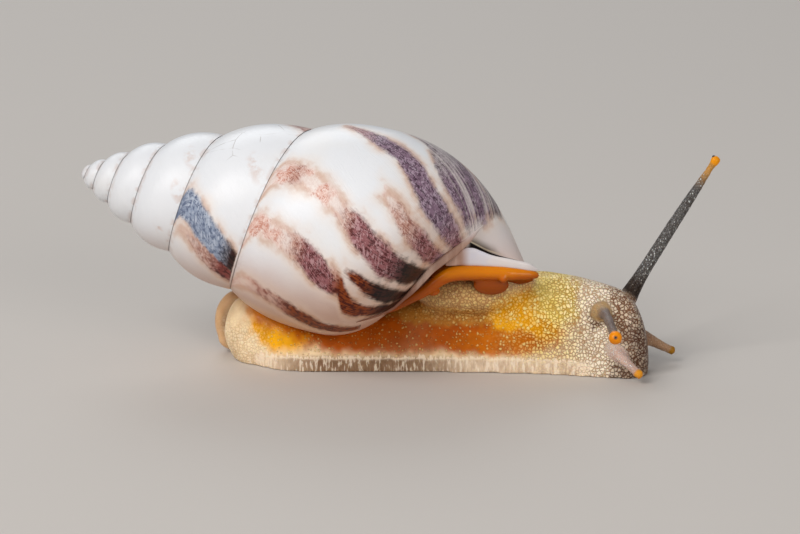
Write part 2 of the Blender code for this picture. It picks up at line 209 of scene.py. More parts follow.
def node_field(tree, kind, settings=(), output=0, **inputs):
    """An output of a new node as a field."""
    return Field(tree, add_node(tree, kind, settings, **inputs).outputs[output])


SHELL_SIZES = dict(
    seam_scale=25.77 * MM, seam_growth=0.449, seam_offset=1.64 * MM, seam_slowing=0.377, tip_turn=-5.95,
    tip_radius=0.27 * MM, tip_swell=0.3 * MM, tip_swell_depth=1.2 * MM, cone_reach=24.37 * MM,
    cone_bend=36.1 * MM, whorl_bulge=2.7, base_depth=45.87 * MM, base_advance=19.9 * MM,
    base_slowing=10.17 * MM, base_hold=8 * MM, navel_depth=2.5 * MM, seam_dent=0.07 * MM,
    lip_flare=1,
)
STEPS_PER_TURN = 192
FIRST_TURN = -7
LIP_TURN = 13 / 32
BASE_START = -17 / 32
LIP_STEPS = 20
# How far the mouth's edge would travel in a whole turn.
TRAVEL_OF_TURN = 60 * MM
WELD_REACH = 0.004 * MM
ROWS_ACROSS = 56
ROWS_BELOW = 64
BASE_BEND = 1.98
BASE_CLOSE = 0.435
LAG_SLOPE = 46
LAG_BACK = 23.5
LAG_BACK_WIDTH = 0.07
LAG_AT_SEAM = LAG_SLOPE - LAG_BACK
LAG_AT_BASE = 52
NAVEL_EDGE = 1.925
SHELL_TIP = set_down((-34.57, 5, 19.9))
SHELL_DIP = math.radians(10.14)
SHELL_TURN_IN = math.radians(11.1)
SHELL_ROLL = math.radians(17.76)
# The lip's section over the rim and back in, in millimetres: its flare, and the wall's thickness.
LIP_FORWARD = (
    (0, 0), (0.15, 0.6), (0.3, 1.05), (0.42, 1.3), (0.5, 1.5), (0.58, 1.45), (0.72, 1), (1, 0),
)
LIP_OUTWARD = (
    (0, 0), (0.15, 0.12), (0.3, 0.62), (0.42, 1.15), (0.5, 1.2), (0.58, 0.9), (0.72, 0.2), (1, 0),
)
RIM_FORWARD = ((0, 0), (0.42, 0.1), (0.5, 0.2), (0.6, 0.1), (0.75, -0.6), (1, -4))
RIM_OUTWARD = ((0, 0), (0.42, 0), (0.5, -0.25), (0.6, -0.5), (0.75, -0.6), (1, -0.9))


def seam_depth(size, turn):
    """Depth of the seam above the whorl. It slows down towards the lip."""
    turn = larger(turn, size.tip_turn)
    slowed = turn - size.seam_slowing * turn * turn * above(turn, 0)
    return size.seam_scale * exponent(size.seam_growth * slowed) - size.seam_offset


def seam_radius(size, turn):
    depth = seam_depth(size, turn)
    start = raised(smaller(larger(turn - size.tip_turn, 0), 1), 0.5)
    swell = size.tip_swell * exponent(depth / size.tip_swell_depth * -1)
    return start * (size.tip_radius + swell + size.cone_reach * depth / (depth + size.cone_bend))


def lag(across):
    """How many turns a growth line trails, at 0 to 1 across the whorl and 1 to 2 below."""
    above_edge = smaller(across, 1)
    hook = LAG_BACK * (1 - exponent(above_edge * (-1 / LAG_BACK_WIDTH)))
    sweep = (LAG_AT_BASE - LAG_AT_SEAM) * (1 - raised(2 - larger(across, 1), 1.6))
    return (LAG_SLOPE * above_edge - hook + sweep) / 360


def shell_point(size, line, across, grow):
    """Turn, radius and depth on the growth line, grown outwards. Turn 0 is on the top."""
    turn = line - lag(across)
    upper = seam_depth(size, turn)
    lower = seam_depth(size, turn + 1)
    inner = seam_radius(size, turn)
    outer = seam_radius(size, turn + 1)
    on_whorl = smaller(across, 1)
    below = sine(math.pi / 2 * (larger(across, 1) - 1))
    bend = size.base_hold - (size.base_hold + size.base_slowing) * above(turn, 0)
    base = size.base_depth + size.base_advance * turn + bend * turn * turn
    depth = upper + on_whorl * (lower - upper) + below * (base - lower)
    whorl = outer - (outer - inner) * raised(1 - on_whorl, size.whorl_bulge)
    whorl = whorl + grow * smaller(whorl * (1 / MM), 1)
    fullness = raised(larger(1 - raised(below, BASE_BEND), 0), BASE_CLOSE)
    navel = size.navel_depth * eased(across, NAVEL_EDGE, 2)
    return turn, whorl * fullness, depth + grow * below - navel


def on_shell(line, across, grow=0):
    """A point of the finished shell as a plain vector."""
    turn, radius, depth = shell_point(SimpleNamespace(**SHELL_SIZES), line, across, grow)
    angle = 2 * math.pi * turn
    return SHELL_FRAME @ Vector((radius * math.cos(angle), radius * math.sin(angle), depth))


# The shell's own space has X towards turn 0, Y towards turn 0.25 and Z down the axis.
shell_axis = Vector((1, 0, 0))
shell_axis.rotate(Matrix.Rotation(SHELL_DIP, 3, "Y"))
shell_axis.rotate(Matrix.Rotation(-SHELL_TURN_IN, 3, "Z"))
level = Vector((0, 0, 1)).cross(shell_axis).normalized()
shell_top = Matrix.Rotation(-SHELL_ROLL, 3, shell_axis) @ shell_axis.cross(level)
SHELL_FRAME = Matrix((shell_top, shell_top.cross(shell_axis), shell_axis)).transposed().to_4x4()
SHELL_FRAME.translation = SHELL_TIP


def new_tree(name, sizes):
    """A geometry tree with named sizes as inputs, and a look-up of its inputs' fields."""
    tree = bpy.data.node_groups.new(name, "GeometryNodeTree")
    for side in ("INPUT", "OUTPUT"):
        tree.interface.new_socket("Geometry", in_out=side, socket_type="NodeSocketGeometry")
    for size in sizes:
        tree.interface.new_socket(size, in_out="INPUT", socket_type="NodeSocketFloat")
    start = tree.nodes.new("NodeGroupInput")
    fields = {name: Field(tree, start.outputs[name]) for name in ("Geometry", *sizes)}
    return tree, SimpleNamespace(**fields)


def ended(geometry, material):
    """Ends a tree: instances made real, the material set."""
    real = node_field(geometry.tree, "GeometryNodeRealizeInstances", Geometry=geometry)
    finish = node_field(geometry.tree, "GeometryNodeSetMaterial", Geometry=real, Material=material)
    add_node(geometry.tree, "NodeGroupOutput", Geometry=finish)
    return geometry.tree


def made_plain(piece):
    """Leaves what a piece's modifiers make as its plain, smooth mesh."""
    graph = bpy.context.evaluated_depsgraph_get()
    data = bpy.data.meshes.new_from_object(piece.evaluated_get(graph))
    piece.modifiers.clear()
    piece.data = data
    data.shade_smooth()


def grow(tree, sizes, piece):
    """Makes a piece's mesh with a tree."""
    step = piece.modifiers.new("growth", "NODES")
    step.node_group = tree
    for socket in tree.interface.items_tree:
        if socket.in_out == "INPUT" and socket.name in sizes:
            step[socket.identifier] = float(sizes[socket.name])
    made_plain(piece)


def store(geometry, name, value, domain="POINT", kind="FLOAT"):
    """A geometry with a value stored on it."""
    settings = {"data_type": kind, "domain": domain}
    inputs = {"Geometry": geometry, "Name": name, "Value": value}
    return node_field(geometry.tree, "GeometryNodeStoreNamedAttribute", settings, **inputs)


def stored(tree, name):
    """A stored number, read back."""
    return node_field(tree, "GeometryNodeInputNamedAttribute", (), "Attribute", Name=name)


def curve_of(value, points):
    """A smooth curve through points in millimetres, over a field from 0 to 1, in metres."""
    node = add_node(value.tree, "ShaderNodeFloatCurve", Value=value)
    heights = [height for _, height in points]
    low, high = min(heights), max(heights)
    handles = node.mapping.curves[0].points
    for _ in points[2:]:
        handles.new(0.5, 0.5)
    for handle, (along, height) in zip(handles, points):
        handle.location = (along, (height - low) / (high - low))
    node.mapping.update()
    return (Field(value.tree, node.outputs[0]) * (high - low) + low) * MM


def combined(x, y, z):
    """Three numbers as one vector. The first is a field."""
    return node_field(x.tree, "ShaderNodeCombineXYZ", X=x, Y=y, Z=z)


def parts_of(vector):
    """The three numbers of a vector."""
    split = add_node(vector.tree, "ShaderNodeSeparateXYZ", Vector=vector)
    return [Field(vector.tree, socket) for socket in split.outputs]


def shell_tree(material):
    """Winds two sheets of growth lines, whorls and base, each turned over the rim at its end."""
    tree, size = new_tree("wound_shell", SHELL_SIZES)
    join = tree.nodes.new("GeometryNodeJoinGeometry")
    for first, start, rows in ((FIRST_TURN, 0, ROWS_ACROSS), (BASE_START, 1, ROWS_BELOW)):
        steps = round((LIP_TURN - first) * STEPS_PER_TURN)
        grid = node_field(tree, "GeometryNodeMeshGrid", Size_X=1, Size_Y=1,
                          Vertices_X=steps + LIP_STEPS + 1, Vertices_Y=rows + 1)
        along, down, _ = parts_of(node_field(tree, "GeometryNodeInputPosition"))
        step = (along + 0.5) * (steps + LIP_STEPS)
        share = down + 0.5
        row = share * (0.5 + 0.5 * share) if start == 0 else share
        line = first + smaller(step, steps) / STEPS_PER_TURN
        sheet = store(grid, "over_rim", larger(step - steps, 0) / LIP_STEPS)
        sheet = store(sheet, "line", line)
        sheet = store(sheet, "across", row + start)
        feed(join.inputs[0], store(sheet, "coil", combined(line, row + start, 0), "CORNER", "FLOAT2"))
    line, across, over_rim = (stored(tree, name) for name in ("line", "across", "over_rim"))
    flare = size.lip_flare * eased(across, 0.2, 0.7) * eased(across, 1.9, 1.72)
    forward = flare * curve_of(over_rim, LIP_FORWARD) + curve_of(over_rim, RIM_FORWARD)
    outward = flare * curve_of(over_rim, LIP_OUTWARD) + curve_of(over_rim, RIM_OUTWARD)
    near_seam = exponent(raised(across * 12, 2) * -1) * above(1, across)
    grown = outward - size.seam_dent * near_seam
    turn, radius, depth = shell_point(size, line + forward / TRAVEL_OF_TURN, across, grown)
    angle = turn * (2 * math.pi)
    position = combined(radius * cosine(angle), radius * sine(angle), depth)
    sheets = Field(tree, join.outputs[0])
    wound = node_field(tree, "GeometryNodeSetPosition", Geometry=sheets, Position=position)
    wound = store(wound, "radius", radius)
    welded = node_field(tree, "GeometryNodeMergeByDistance", Geometry=wound, Distance=WELD_REACH)
    return ended(welded, material)


PIGMENTS = dict(
    rose=(0.76, 0.49, 0.41), tan=(0.52, 0.28, 0.22), plum=(0.29, 0.104, 0.112),
    violet=(0.235, 0.142, 0.205), mist=(0.29, 0.225, 0.25), slate=(0.3, 0.35, 0.46),
    umber=(0.25, 0.045, 0.004), maroon=(0.25, 0.045, 0.035), soot=(0.036, 0.008, 0.006),
)
PORCELAIN = (0.82, 0.83, 0.855)
IVORY = (0.84, 0.76, 0.66)
BEIGE = (0.62, 0.49, 0.44)
RUST = (0.52, 0.23, 0.09)
# Painted shade with a warm painted reflection, for the lower shell.
WARM_SHADE_REFLECTION = (0.58, 0.33, 0.225)
TAN = (0.58, 0.37, 0.28)
HALO = (0.86, 0.67, 0.53)
CRACK_BROWN = (0.3, 0.25, 0.21)
SEAM_BROWN = (0.16, 0.12, 0.1)
# Painted shade in the hollow and the slit by the plate, and a painted highlight on the rim between.
HOLLOW_SHADE = (0.13, 0.1, 0.06)
SLIT_RIM_HIGHLIGHT = (0.8, 0.7, 0.52)
SLIT_SHADOW = (0.012, 0.01, 0.012)
# Each flame runs down from the seam: how far across, growth line, width in turns, pigment.
FLAMES = (
    ((0.5, -0.052, 0.008, "tan"), (0.75, -0.038, 0.02, "plum"), (1, -0.023, 0.03, "violet"),
     (1.15, -0.022, 0.034, "violet"), (1.28, -0.03, 0.044, "violet"), (1.42, -0.045, 0.05, "violet"),
     (1.6, -0.05, 0.054, "violet"), (1.9, -0.047, 0.062, "plum")),
    ((1.05, 0.078, 0.03, "mist"), (1.22, 0.078, 0.058, "mist"), (1.35, 0.062, 0.098, "mist"),
     (1.47, 0.062, 0.124, "violet"), (1.75, 0.066, 0.12, "violet")),
    ((1.18, -0.098, 0.014, "rose"), (1.28, -0.104, 0.028, "tan"), (1.4, -0.114, 0.036, "tan"),
     (1.54, -0.121, 0.044, "plum"), (1.7, -0.132, 0.05, "plum"), (1.9, -0.14, 0.052, "violet")),
    ((0.02, -0.215, 0.046, "rose"), (0.18, -0.216, 0.04, "rose"), (0.3, -0.207, 0.036, "tan"),
     (0.45, -0.194, 0.032, "rose"), (0.66, -0.182, 0.03, "rose"), (0.84, -0.173, 0.028, "rose"),
     (1, -0.171, 0.028, "tan"), (1.08, -0.172, 0.042, "plum"), (1.2, -0.178, 0.042, "plum"),
     (1.35, -0.185, 0.052, "plum"), (1.53, -0.189, 0.05, "soot"), (1.7, -0.2, 0.052, "soot"),
     (1.9, -0.215, 0.054, "soot")),
    ((0.02, -0.307, 0.05, "rose"), (0.2, -0.312, 0.032, "rose"), (0.38, -0.297, 0.032, "rose"),
     (0.56, -0.284, 0.036, "tan"), (0.72, -0.275, 0.041, "plum"), (0.87, -0.271, 0.046, "plum"),
     (1, -0.268, 0.038, "plum"), (1.09, -0.266, 0.024, "umber")),
    ((1.02, -0.246, 0.01, "tan"), (1.09, -0.26, 0.028, "umber"), (1.15, -0.283, 0.044, "umber"),
     (1.21, -0.29, 0.036, "umber"), (1.32, -0.289, 0.028, "umber"), (1.46, -0.288, 0.034, "soot"),
     (1.66, -0.302, 0.04, "soot")),
    ((1.12, -0.233, 0.01, "umber"), (1.22, -0.236, 0.022, "umber"), (1.36, -0.241, 0.036, "soot"),
     (1.52, -0.251, 0.041, "soot"), (1.75, -0.276, 0.036, "soot")),
    ((0, -0.44, 0.04, "rose"), (0.16, -0.43, 0.034, "rose"), (0.34, -0.412, 0.026, "tan"),
     (0.5, -0.396, 0.026, "tan"), (0.7, -0.385, 0.033, "umber"), (0.88, -0.377, 0.034, "umber"),
     (1.02, -0.37, 0.032, "umber"), (1.16, -0.36, 0.028, "umber"), (1.32, -0.35, 0.024, "umber")),
    ((0, -1.295, 0.074, "slate"), (0.08, -1.303, 0.074, "slate"), (0.17, -1.313, 0.066, "slate"),
     (0.34, -1.318, 0.063, "slate"), (0.7, -1.311, 0.058, "slate"), (0.9, -1.307, 0.052, "soot"),
     (0.97, -1.306, 0.05, "soot")),
    ((0.12, -1.372, 0.012, "rose"), (0.35, -1.366, 0.03, "tan"), (0.6, -1.358, 0.04, "tan"),
     (0.8, -1.35, 0.042, "maroon"), (0.97, -1.346, 0.04, "maroon")),
)
FAR_SEED = 4
# The far side's flames: first and last growth line, and how many.
FAR_FLAMES = ((0.165, 0.385, 3), (-0.96, -0.52, 5), (-1.78, -1.52, 2))
# Where the flames stop at the base: growth line and how far across.
FLAME_END = ((-0.38, 1.3), (-0.33, 1.5), (-0.3, 1.72), (-0.24, 1.8), (-0.16, 1.87), (-0.04, 1.88),
             (0.06, 1.82), (0.18, 1.72), (0.45, 1.66))
# Old stains and fine cracks: growth line, how far across, and width in millimetres.
STAINS = ((-2.112, 0.79, 1.3), (-1.14, 0.77, 1.6), (-2.205, 0.83, 1.1), (-2.33, 0.7, 0.9))
CRACKS = ((-1.142, 0.31, 3), (-1.097, 0.56, 3.4), (-1.045, 0.7, 3), (-1.055, 0.91, 2.4))
# The depth of what lies outside every flame, and a whorl's breadth in radii.
OUTSIDE = -9.0
WHORL_BREADTH = 1.5


def far_flames(chance):
    """The far side's flames, each a little unlike the others."""
    for first, last, count in FAR_FLAMES:
        for line in np.linspace(first, last, count):
            start = chance.uniform(0, 0.35)
            lean = chance.uniform(-0.02, 0.02)
            width = chance.uniform(0.022, 0.05)
            upper, middle, lower = chance.choice(["rose", "plum", "violet", "tan"], 3)
            yield ((start, line - 0.02, width * 0.4, upper), (0.5, line + lean, width * 0.8, middle),
                   (0.95, line + lean, width, lower), (1.35, line + lean * 0.5, width * 1.2, "violet"),
                   (1.85, line - 0.01, width * 1.4, "soot"))


def spots(line, across, radius, places):
    """How much of round spots lies on each place, from 0 to 1."""
    most = np.zeros(len(line))
    for spot_line, spot_across, width in places:
        gap = np.hypot((line - spot_line) * 2 * math.pi * radius, (across - spot_across) * radius * 0.9)
        most = np.maximum(most, np.clip(1 - gap / width, 0, 1))
    return most


def read(items, name, parts=1, kind=float):
    """A value of all items of a mesh, as a row of its parts for each."""
    values = np.zeros(len(items) * parts, kind)
    items.foreach_get(name, values)
    return values.reshape(-1, parts)


def keep(data, domain, **layers):
    """Stores numbers or colours on a mesh under their names."""
    for name, values in layers.items():
        if values.ndim == 1:
            data.attributes.new(name, "FLOAT", domain).data.foreach_set("value", values)
        else:
            colours = np.column_stack((values, np.ones(len(values))))
            data.attributes.new(name, "FLOAT_COLOR", domain).data.foreach_set("color", colours.ravel())


def paint_flames(data):
    """Stores how many millimetres deep each corner lies in a flame, its pigment, and other marks."""
    line, across = read(data.attributes["coil"].data, "vector", 2).T
    corner_vertex = read(data.loops, "vertex_index", 1, int)[:, 0]
    radius = read(data.attributes["radius"].data, "value")[corner_vertex, 0] / MM
    inside = np.full(len(line), OUTSIDE)
    pigment = np.ones((len(line), 3))
    for flame in (*FLAMES, *far_flames(np.random.default_rng(FAR_SEED))):
        stops, lines, widths, names = zip(*flame)
        aside = abs(line - np.interp(across, stops, lines))
        side = (np.interp(across, stops, widths) / 2 - aside) * 2 * math.pi * radius
        depth = np.minimum(side, (stops[-1] - across) * WHORL_BREADTH * radius + 0.2)
        if stops[0] > 0.03:
            depth = np.minimum(depth, (across - stops[0]) * WHORL_BREADTH * radius + 0.2)
        if stops[-1] < 1.5:
            depth = np.where(across > stops[-1] + 0.02, OUTSIDE, depth)
        nearer = depth > inside
        inside[nearer] = depth[nearer]
        for part in range(3):
            shades = np.interp(across, stops, [PIGMENTS[name][part] for name in names])
            pigment[nearer, part] = shades[nearer]
    past_end = (across - np.interp(line, *zip(*FLAME_END), left=1.05)) * 14
    seam = np.where(line < BASE_START, np.minimum(across, abs(1 - across)), across) * radius * WHORL_BREADTH
    stained, cracked = (spots(line, across, radius, places) for places in (STAINS, CRACKS))
    keep(data, "CORNER", flame_depth=np.minimum(inside, -past_end), past_end=past_end, seam=seam,
         stain=stained, crack=cracked, pigment=pigment)


def attribute(tree, name, output="Fac"):
    """A stored value of the mesh, read by a material."""
    return node_field(tree, "ShaderNodeAttribute", {"attribute_name": name}, output)


def noise(vector, waves, detail=2):
    """Cloudy noise with so many waves a metre of the vector, or so many for each axis."""
    if isinstance(waves, tuple):
        vector, waves = scaled(vector, waves), 1
    return node_field(vector.tree, "ShaderNodeTexNoise", Vector=vector, Scale=waves, Detail=detail)


def mixed(share, low, high, blend="MIX"):
    """A colour between two. At least one of the three is a field."""
    tree = next(value.tree for value in (share, low, high) if isinstance(value, Field))
    node = add_node(tree, "ShaderNodeMix", {"data_type": "RGBA", "blend_type": blend})
    feed(node.inputs[0], share)
    for socket, colour in zip(node.inputs[6:8], (low, high)):
        feed(socket, colour if isinstance(colour, Field) else (*colour, 1))
    return Field(tree, node.outputs[2])


def layered(colour, *layers):
    """A colour with others laid over it in turn, each with its share."""
    for share, over in layers:
        colour = mixed(share, colour, over)
    return colour


def bumped(shader, *layers):
    """Bumps a shader's surface with layers, each a height from 0 to 1 and its depth."""
    under = {}
    for height, depth in layers:
        normal = node_field(height.tree, "ShaderNodeBump", Height=height, Distance=depth, **under)
        under = {"Normal": normal}
    feed_all(shader, **under)


def scaled(vector, times):
    """A vector with each part multiplied."""
    node = add_node(vector.tree, "ShaderNodeVectorMath", {"operation": "MULTIPLY"})
    feed(node.inputs[0], vector)
    feed(node.inputs[1], times)
    return Field(vector.tree, node.outputs[0])


def gamma(colour, power):
    """A colour made darker by a power over 1, or paler by one under 1."""
    return node_field(colour.tree, "ShaderNodeGamma", Color=colour, Gamma=power)


def object_place(tree):
    return node_field(tree, "ShaderNodeTexCoord", (), "Object")


# The slit between base and plate in side view: height in millimetres from its start to its end.
SLIT_START = 7.35 * MM
SLIT_LENGTH = 5.6 * MM
SLIT = ((0, 14.25), (0.15, 13.65), (0.35, 12.95), (0.5, 12.62), (0.65, 12.36), (0.88, 11.98), (1, 11.7))


def shell_material():
    """Porcelain with fuzzy plum flames, fine growth lines, dark seams with pale crimped edges."""
    finish = {"Coat_Roughness": 0.28, "Specular_IOR_Level": 0.22}
    material, tree, shader = new_material("flamed_porcelain", **finish)
    place = object_place(tree)
    x, y, z = parts_of(place)
    coil = attribute(tree, "coil", "Vector")
    line, across, _ = parts_of(coil)
    growth = noise(coil, (420, 7, 1), 3)
    fine_growth = noise(coil, (1500, 18, 1))
    thread = noise(coil, (700, 60, 1), 1)
    cross = noise(place, (5200, 5200, 1300), 1)
    stripe = noise(coil, (130, 1.5, 1))
    clouds = ((160, 3), (420, 4), (1000, 4), (2300, 3))
    cloud, patch, fuzz, mottle = (noise(place, waves, detail) for waves, detail in clouds)

    # The white has ivory clouds, a crimped edge along the seam and stains. It is warmer and darker towards
    # the bottom and on the base's underside: painted shade with a painted warm reflection from below.
    seam = attribute(tree, "seam")
    base = eased(attribute(tree, "past_end"), -0.1, 0.6)
    low = eased(z + (cloud - 0.5) * 4 * MM, 17 * MM, 7 * MM)
    white = layered(
        mixed(eased(cloud, 0.45, 0.75) * 0.22, PORCELAIN, IVORY),
        (eased(seam, 1, 0.15) * eased(fuzz, 0.45, 0.6) * 0.5, BEIGE),
        (attribute(tree, "stain") * eased(fuzz, 0.4, 0.65) * 0.55, RUST),
        (base * 0.35, BEIGE),
        # Painted shade and warm reflection: warmer towards the bottom, tan on the base's underside.
        (low * 0.9, WARM_SHADE_REFLECTION),
        (eased(across, 1.1, 1.7) * eased(line, 0.05, -0.1) * 0.55, TAN),
    )

    # A flame has a pale halo, a rusty edge, and dark growth lines and pale threads in its pigment.
    depth = attribute(tree, "flame_depth")
    haze = eased(depth + (patch - 0.5) * 2.4, -2, 0.2)
    ragged = depth + (fuzz - 0.5) * 0.9 + (growth - 0.5) * 0.4 + (mottle - 0.5) * 0.5
    edge = eased(ragged, -1.1, -0.1) * eased(ragged, 0.7, 0.2)
    pigment = attribute(tree, "pigment", "Color")
    redness, _, blueness = parts_of(pigment)
    thin = eased(redness, 0.35, 0.75) * eased(patch, 0.4, 0.58) * 0.75
    striped = eased(line, 0.01, 0.04) * eased(stripe, 0.42, 0.62) * 0.6
    body = eased(ragged, -0.42, 0.38) * (1 - thin) * (1 - striped)
    lined = eased(growth + (mottle - 0.5) * 0.9, 0.44, 0.6)
    inked = mixed(lined * 0.9, pigment, gamma(pigment, 2.1))
    threads = eased(larger(thread, cross) + (fuzz - 0.5) * 0.5, 0.57, 0.66) * eased(blueness, 0.01, 0.08)
    inked = mixed(threads * (0.8 - 0.75 * low), inked, gamma(pigment, 0.52))
    # Cracks, the seam's hairline, and the slit by the plate with the hollow over it: the slit and the
    # hollow are painted shade, and the pale rim between them is a painted highlight.
    edges = {"feature": "DISTANCE_TO_EDGE"}
    cracks = node_field(tree, "ShaderNodeTexVoronoi", edges, "Distance", Vector=place, Scale=330)
    crack = eased(cracks, 0.018, 0.006) * eased(patch, 0.45, 0.6) * eased(attribute(tree, "crack"), 0.1, 0.6)
    along = (x - SLIT_START) / SLIT_LENGTH
    over_slit = z - curve_of(along, SLIT)
    near = base * eased(y, 1.5 * MM, 0.5 * MM) * eased(along, -0.05, 0.03) * eased(along, 1, 0.9)
    hollow = eased(along, 0.62, 0.25) * eased(over_slit, 1.5 * MM, 0.4 * MM)
    rim = eased(size_of(over_slit - 0.42 * MM), 0.13 * MM, 0.05 * MM) * eased(along, 0.7, 0.4)
    slit = eased(over_slit - (0.28 - 0.16 * along) * MM, 0.06 * MM, 0)
    coloured = layered(
        white,
        (haze * 0.42, HALO),
        (edge * eased(patch, 0.4, 0.6) * 0.5, RUST),
        (body, inked),
        (crack * 0.6, CRACK_BROWN),
        (eased(seam, 0.045, 0.01) * 0.6, SEAM_BROWN),
        (near * hollow * 0.8, HOLLOW_SHADE),
        (near * rim * 0.8, SLIT_RIM_HIGHLIGHT),
        (near * slit, SLIT_SHADOW),
    )

    rough = 0.3 + 0.14 * body + 0.1 * (cloud - 0.5)
    feed_all(shader, Base_Color=coloured, Roughness=rough, Coat_Weight=0.25 - 0.2 * low)
    bumped(shader, (growth, 0.03 * MM), (fine_growth, 0.014 * MM), (mottle, 0.008 * MM))
    return material


shell = placed("shell", bpy.data.meshes.new("shell"))
grow(shell_tree(shell_material()), SHELL_SIZES, shell)
paint_flames(shell.data)
shell.data.transform(SHELL_FRAME)
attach(shell, "root")
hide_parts("shell_apex", "shell_upper_spire", "shell_lower_spire", "shell_body_whorl",
            "shell_outer_lip")

# ---------- the lip's inner end
# Where the lip comes round to the axis it folds back over the navel as a small porcelain plate, which
# leaves a slit between itself and the base, painted dark on the shell as shade. A pinkish fold runs
# down from it along the mouth.

PLATE_WAY = (
    (4.8, -5.35, 12.3), (5.8, -5.2, 12.75), (6.7, -5.05, 13.05), (7.5, -5, 13.1), (8.3, -5, 12.95),
    (9.3, -5, 12.72), (10.15, -5, 12.58), (11.1, -5, 12.46), (12.3, -4.95, 12.25),
    (13.4, -4.8, 12), (14.6, -4.45, 11.5),
)
PLATE_HALVES = (
    (0.3, 0.2), (0.6, 0.3), (0.92, 0.36), (1, 0.4), (0.86, 0.42), (0.68, 0.42), (0.58, 0.42),
    (0.52, 0.42), (0.46, 0.42), (0.42, 0.38), (0.3, 0.3),
)
FOLD_WAY = (
    (-4.6, -8.8, 7), (-2.4, -8.4, 7.6), (-0.87, -7.9, 8.2), (0.35, -7.4, 9.14), (1.22, -7.2, 9.92),
    (2.3, -6.85, 11.06), (3.35, -6.5, 12.18), (4.72, -5.95, 13.14), (6.17, -5.3, 14.12),
    (7.35, -4.75, 15), (8.1, -4.4, 15.7), (8.8, -3.8, 16.3),
)
FOLD_HALVES = (
    (0.1, 0.1), (0.12, 0.14), (0.15, 0.2), (0.2, 0.26), (0.28, 0.3), (0.36, 0.34), (0.43, 0.38),
    (0.46, 0.38), (0.44, 0.3), (0.32, 0.2), (0.18, 0.12), (0.08, 0.06),
)


LAVENDER_WHITE = (0.65, 0.635, 0.73)
CREAM_WHITE = (0.72, 0.66, 0.64)
FOLD_DARK = (0.38, 0.215, 0.155)
FOLD_PALE = (0.54, 0.36, 0.28)
# Painted shade for the fold's lower part.
FOLD_LOW_SHADE = (0.2, 0.062, 0.028)


def catmull(stations, at):
    """A smooth value between stations, counted from 0."""
    last = len(stations) - 1
    step = min(int(at), last - 1)
    t = at - step
    p1, p2 = Vector(stations[step]), Vector(stations[step + 1])
    p0 = Vector(stations[step - 1]) if step else p1 * 2 - p2
    p3 = Vector(stations[step + 2]) if step + 2 <= last else p2 * 2 - p1
    bend = (2 * p0 - 5 * p1 + 4 * p2 - p3) * t * t + (3 * p1 - p0 - 3 * p2 + p3) * t * t * t
    return (2 * p1 + (p2 - p0) * t + bend) * 0.5


def add_sheet(mesh, columns, rows, place):
    """Adds a grid whose corners are moved to place(column, row)."""
    made = bmesh.ops.create_grid(mesh, x_segments=columns, y_segments=rows, size=0.5)
    for vert in made["verts"]:
        vert.co = place(round((vert.co.x + 0.5) * columns), round((vert.co.y + 0.5) * rows))


def close_up(mesh):
    """Closes rolled-up sheets and turns their faces outwards."""
    bmesh.ops.remove_doubles(mesh, verts=mesh.verts, dist=0.002 * MM)
    bmesh.ops.recalc_face_normals(mesh, faces=mesh.faces)


def ahead_on(way, at):
    """Which way a way goes at a place."""
    return (catmull(way, min(at + 0.05, len(way) - 1)) - catmull(way, max(at - 0.05, 0))).normalized()


def add_band(mesh, way, halves, sides=28, rings=80):
    """A flat tube along a way in millimetres, with rounded ends and slightly hollow faces."""

    def place(column, row):
        share = column / rings
        at = (len(way) - 1) * (1 - math.cos(math.pi * share)) / 2
        ahead = ahead_on(way, at)
        sideways = ahead.cross(Vector((0, 0, 1))).normalized()
        half_up, half_thick = catmull(halves, at)
        end = min(1, 1.8 * math.sin(math.pi * share)) ** 0.7 if 0 < column < rings else 0
        angle = 2 * math.pi * row / sides
        thick = half_thick * math.sin(angle) * (1 - 0.3 * math.sin(angle) ** 2)
        out = (sideways.cross(ahead) * half_up * math.cos(angle) + sideways * thick) * end
        return set_down(catmull(way, at) + out)

    add_sheet(mesh, rings, sides, place)


def lip_material():
    """Smooth white porcelain, faintly lavender and cream, and pinkish tan on the fold, browner lower down as
    painted shade.
    """
    finish = {"Coat_Weight": 0.1, "Coat_Roughness": 0.1, "Specular_IOR_Level": 0.3}
    material, tree, shader = new_material("white_porcelain", **finish)
    place = object_place(tree)
    cloud = noise(place, 260, 3)
    streak = noise(place, (900, 900, 240), 3)
    blush = attribute(tree, "blush")
    white = mixed(eased(cloud, 0.35, 0.65), LAVENDER_WHITE, CREAM_WHITE)
    tan = mixed(eased(streak, 0.35, 0.65), FOLD_DARK, FOLD_PALE)
    # Painted shade: the fold gets browner lower down.
    tan = mixed(eased(parts_of(place)[2], 11.4 * MM, 8.9 * MM) * 0.9, tan, FOLD_LOW_SHADE)
    feed_all(shader, Base_Color=mixed(blush, white, tan), Roughness=0.22 + 0.1 * cloud + 0.3 * blush)
    bumped(shader, (streak, 0.02 * MM), (cloud, 0.05 * MM))
    return material


plate_mesh = bmesh.new()
add_band(plate_mesh, PLATE_WAY, PLATE_HALVES)
plate_corners = len(plate_mesh.verts)
add_band(plate_mesh, FOLD_WAY, FOLD_HALVES, sides=20, rings=110)
blush_layer = plate_mesh.verts.layers.float.new("blush")
for number, vert in enumerate(plate_mesh.verts):
    height = (vert.co.z + BASE_MIDDLE.z) / MM
    inwards = 7.3 - (vert.co.x + BASE_MIDDLE.x) / MM
    on_fold = number >= plate_corners
    vert[blush_layer] = eased(16.6 - height, 0, 2.2) if on_fold else eased(inwards, -0.3, 1)
close_up(plate_mesh)
plate = new_object("columellar_plate", plate_mesh)
plate.data.materials.append(lip_material())
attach(plate, "root")
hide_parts("shell_columellar_lip")

# ---------- the mantle
# The soft orange collar that lays the shell down. It fills the shell's mouth, swells out under the
# plate in a wet roll with a hanging drop and a lobe, and lines the far edge of the mouth. Its top is
# painted lighter as a highlight, and its lower side with the lobe, its left end and its far side are
# painted darker brown as shade.

MANTLE_MIDDLE = set_down((7.4, 0.3, 9.1))
MANTLE_HALF = (7.4 * MM, 4.7 * MM, 1.2 * MM)
